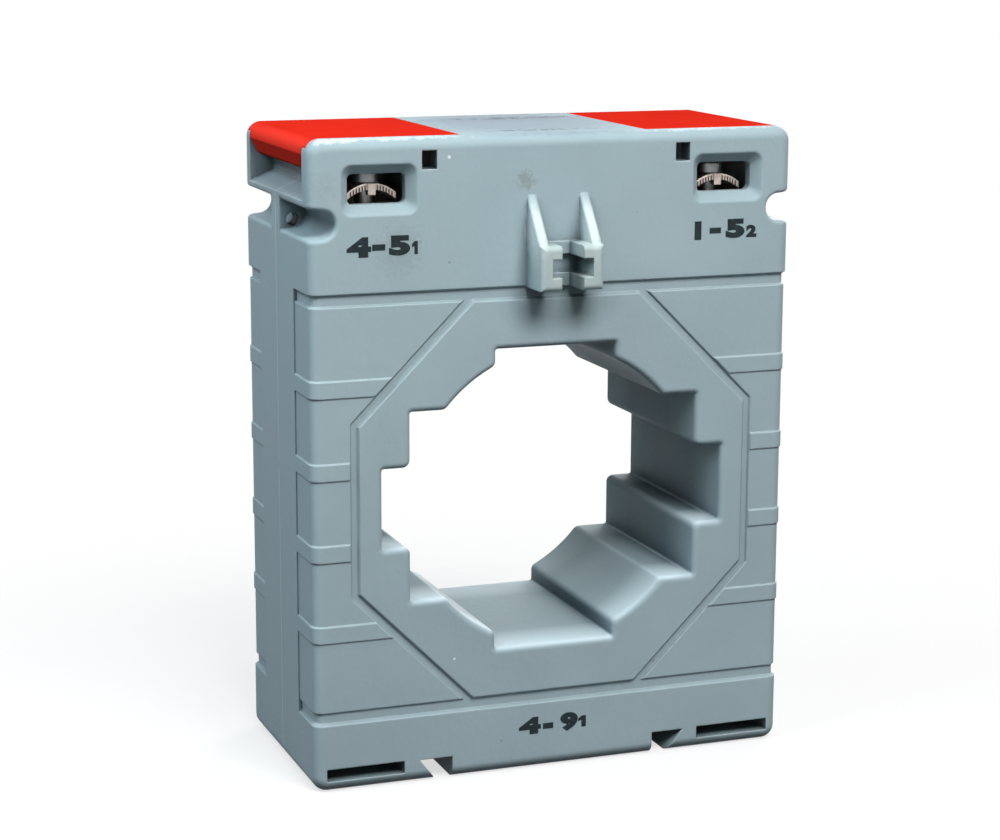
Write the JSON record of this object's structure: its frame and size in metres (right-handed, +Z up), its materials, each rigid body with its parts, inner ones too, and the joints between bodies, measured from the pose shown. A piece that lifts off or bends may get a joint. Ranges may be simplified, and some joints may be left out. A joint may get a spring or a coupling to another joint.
{
  "type": "window-type current transformer",
  "caption": "Upright moulded current transformer with a stepped window for busbars, a screw holder above it and terminals under snap-in covers at the top corners.",
  "frame": {"origin": "centre of the base, on the face that the part stands on", "axes": "+X to the right seen from the front, +Y from the front face to the back, +Z up; the busbar window runs along Y"},
  "size_m": [0.086, 0.054, 0.1096],
  "materials": {
    "case": "satin, slightly mottled",
    "cover": "gloss",
    "clamp": "plated, warm tint",
    "screw": "plated",
    "terminal": "plated",
    "core_steel": "wound strip",
    "core_cap": "matte",
    "winding": "enamelled copper wire",
    "sleeve": "insulating film",
    "lead": "insulated wire"
  },
  "bodies": {
    "root": {"front_shell": "case", "rear_shell": "case", "ring_core": "core_steel", "core_cap_front": "core_cap", "core_cap_rear": "core_cap", "secondary_winding": "winding", "winding_sleeve": "sleeve", "lead_right": "lead", "lead_left": "lead", "terminal_plate_right": "terminal", "terminal_plate_left": "terminal", "clamp_saddle_front_right": "clamp", "clamp_saddle_front_left": "clamp", "clamp_saddle_rear_right": "clamp", "clamp_saddle_rear_left": "clamp", "clamp_screw_front_right": "screw", "clamp_screw_front_left": "screw", "clamp_screw_rear_right": "screw", "clamp_screw_rear_left": "screw", "terminal_cover_right": "cover", "terminal_cover_left": "cover"}
  },
  "joints": []
}
